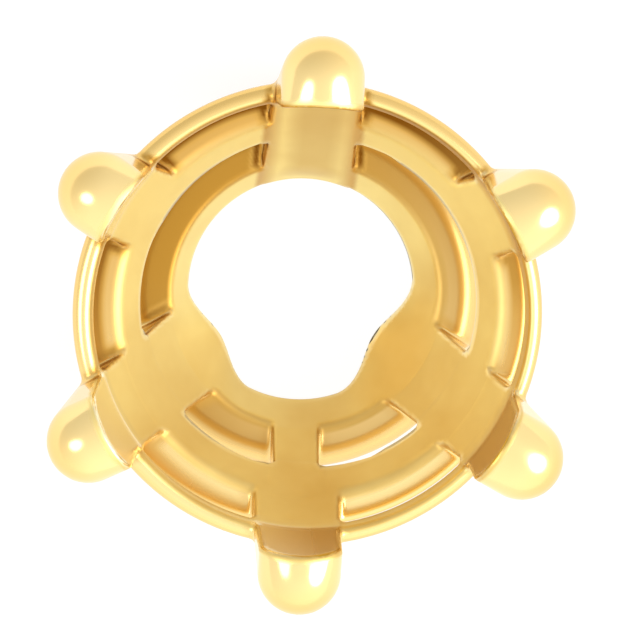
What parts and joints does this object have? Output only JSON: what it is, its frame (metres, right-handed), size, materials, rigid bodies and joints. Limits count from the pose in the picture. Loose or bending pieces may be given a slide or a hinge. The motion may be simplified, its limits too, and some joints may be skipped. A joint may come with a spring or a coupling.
{
  "type": "slide pendant setting",
  "caption": "Round six-prong basket setting for a pendant stone, with slots between its base and middle rails that a fine chain slides through.",
  "frame": {"origin": "on the setting's axis, at the underside of the base rail", "axes": "+Z along the axis, from the base rail up to the prong tips; +Y towards the prong that hangs uppermost; +X along the chain"},
  "size_m": [0.0072, 0.0082, 0.0041],
  "materials": {
    "gold": "polished"
  },
  "bodies": {
    "root": {"prong_basket": "gold"}
  },
  "joints": []
}
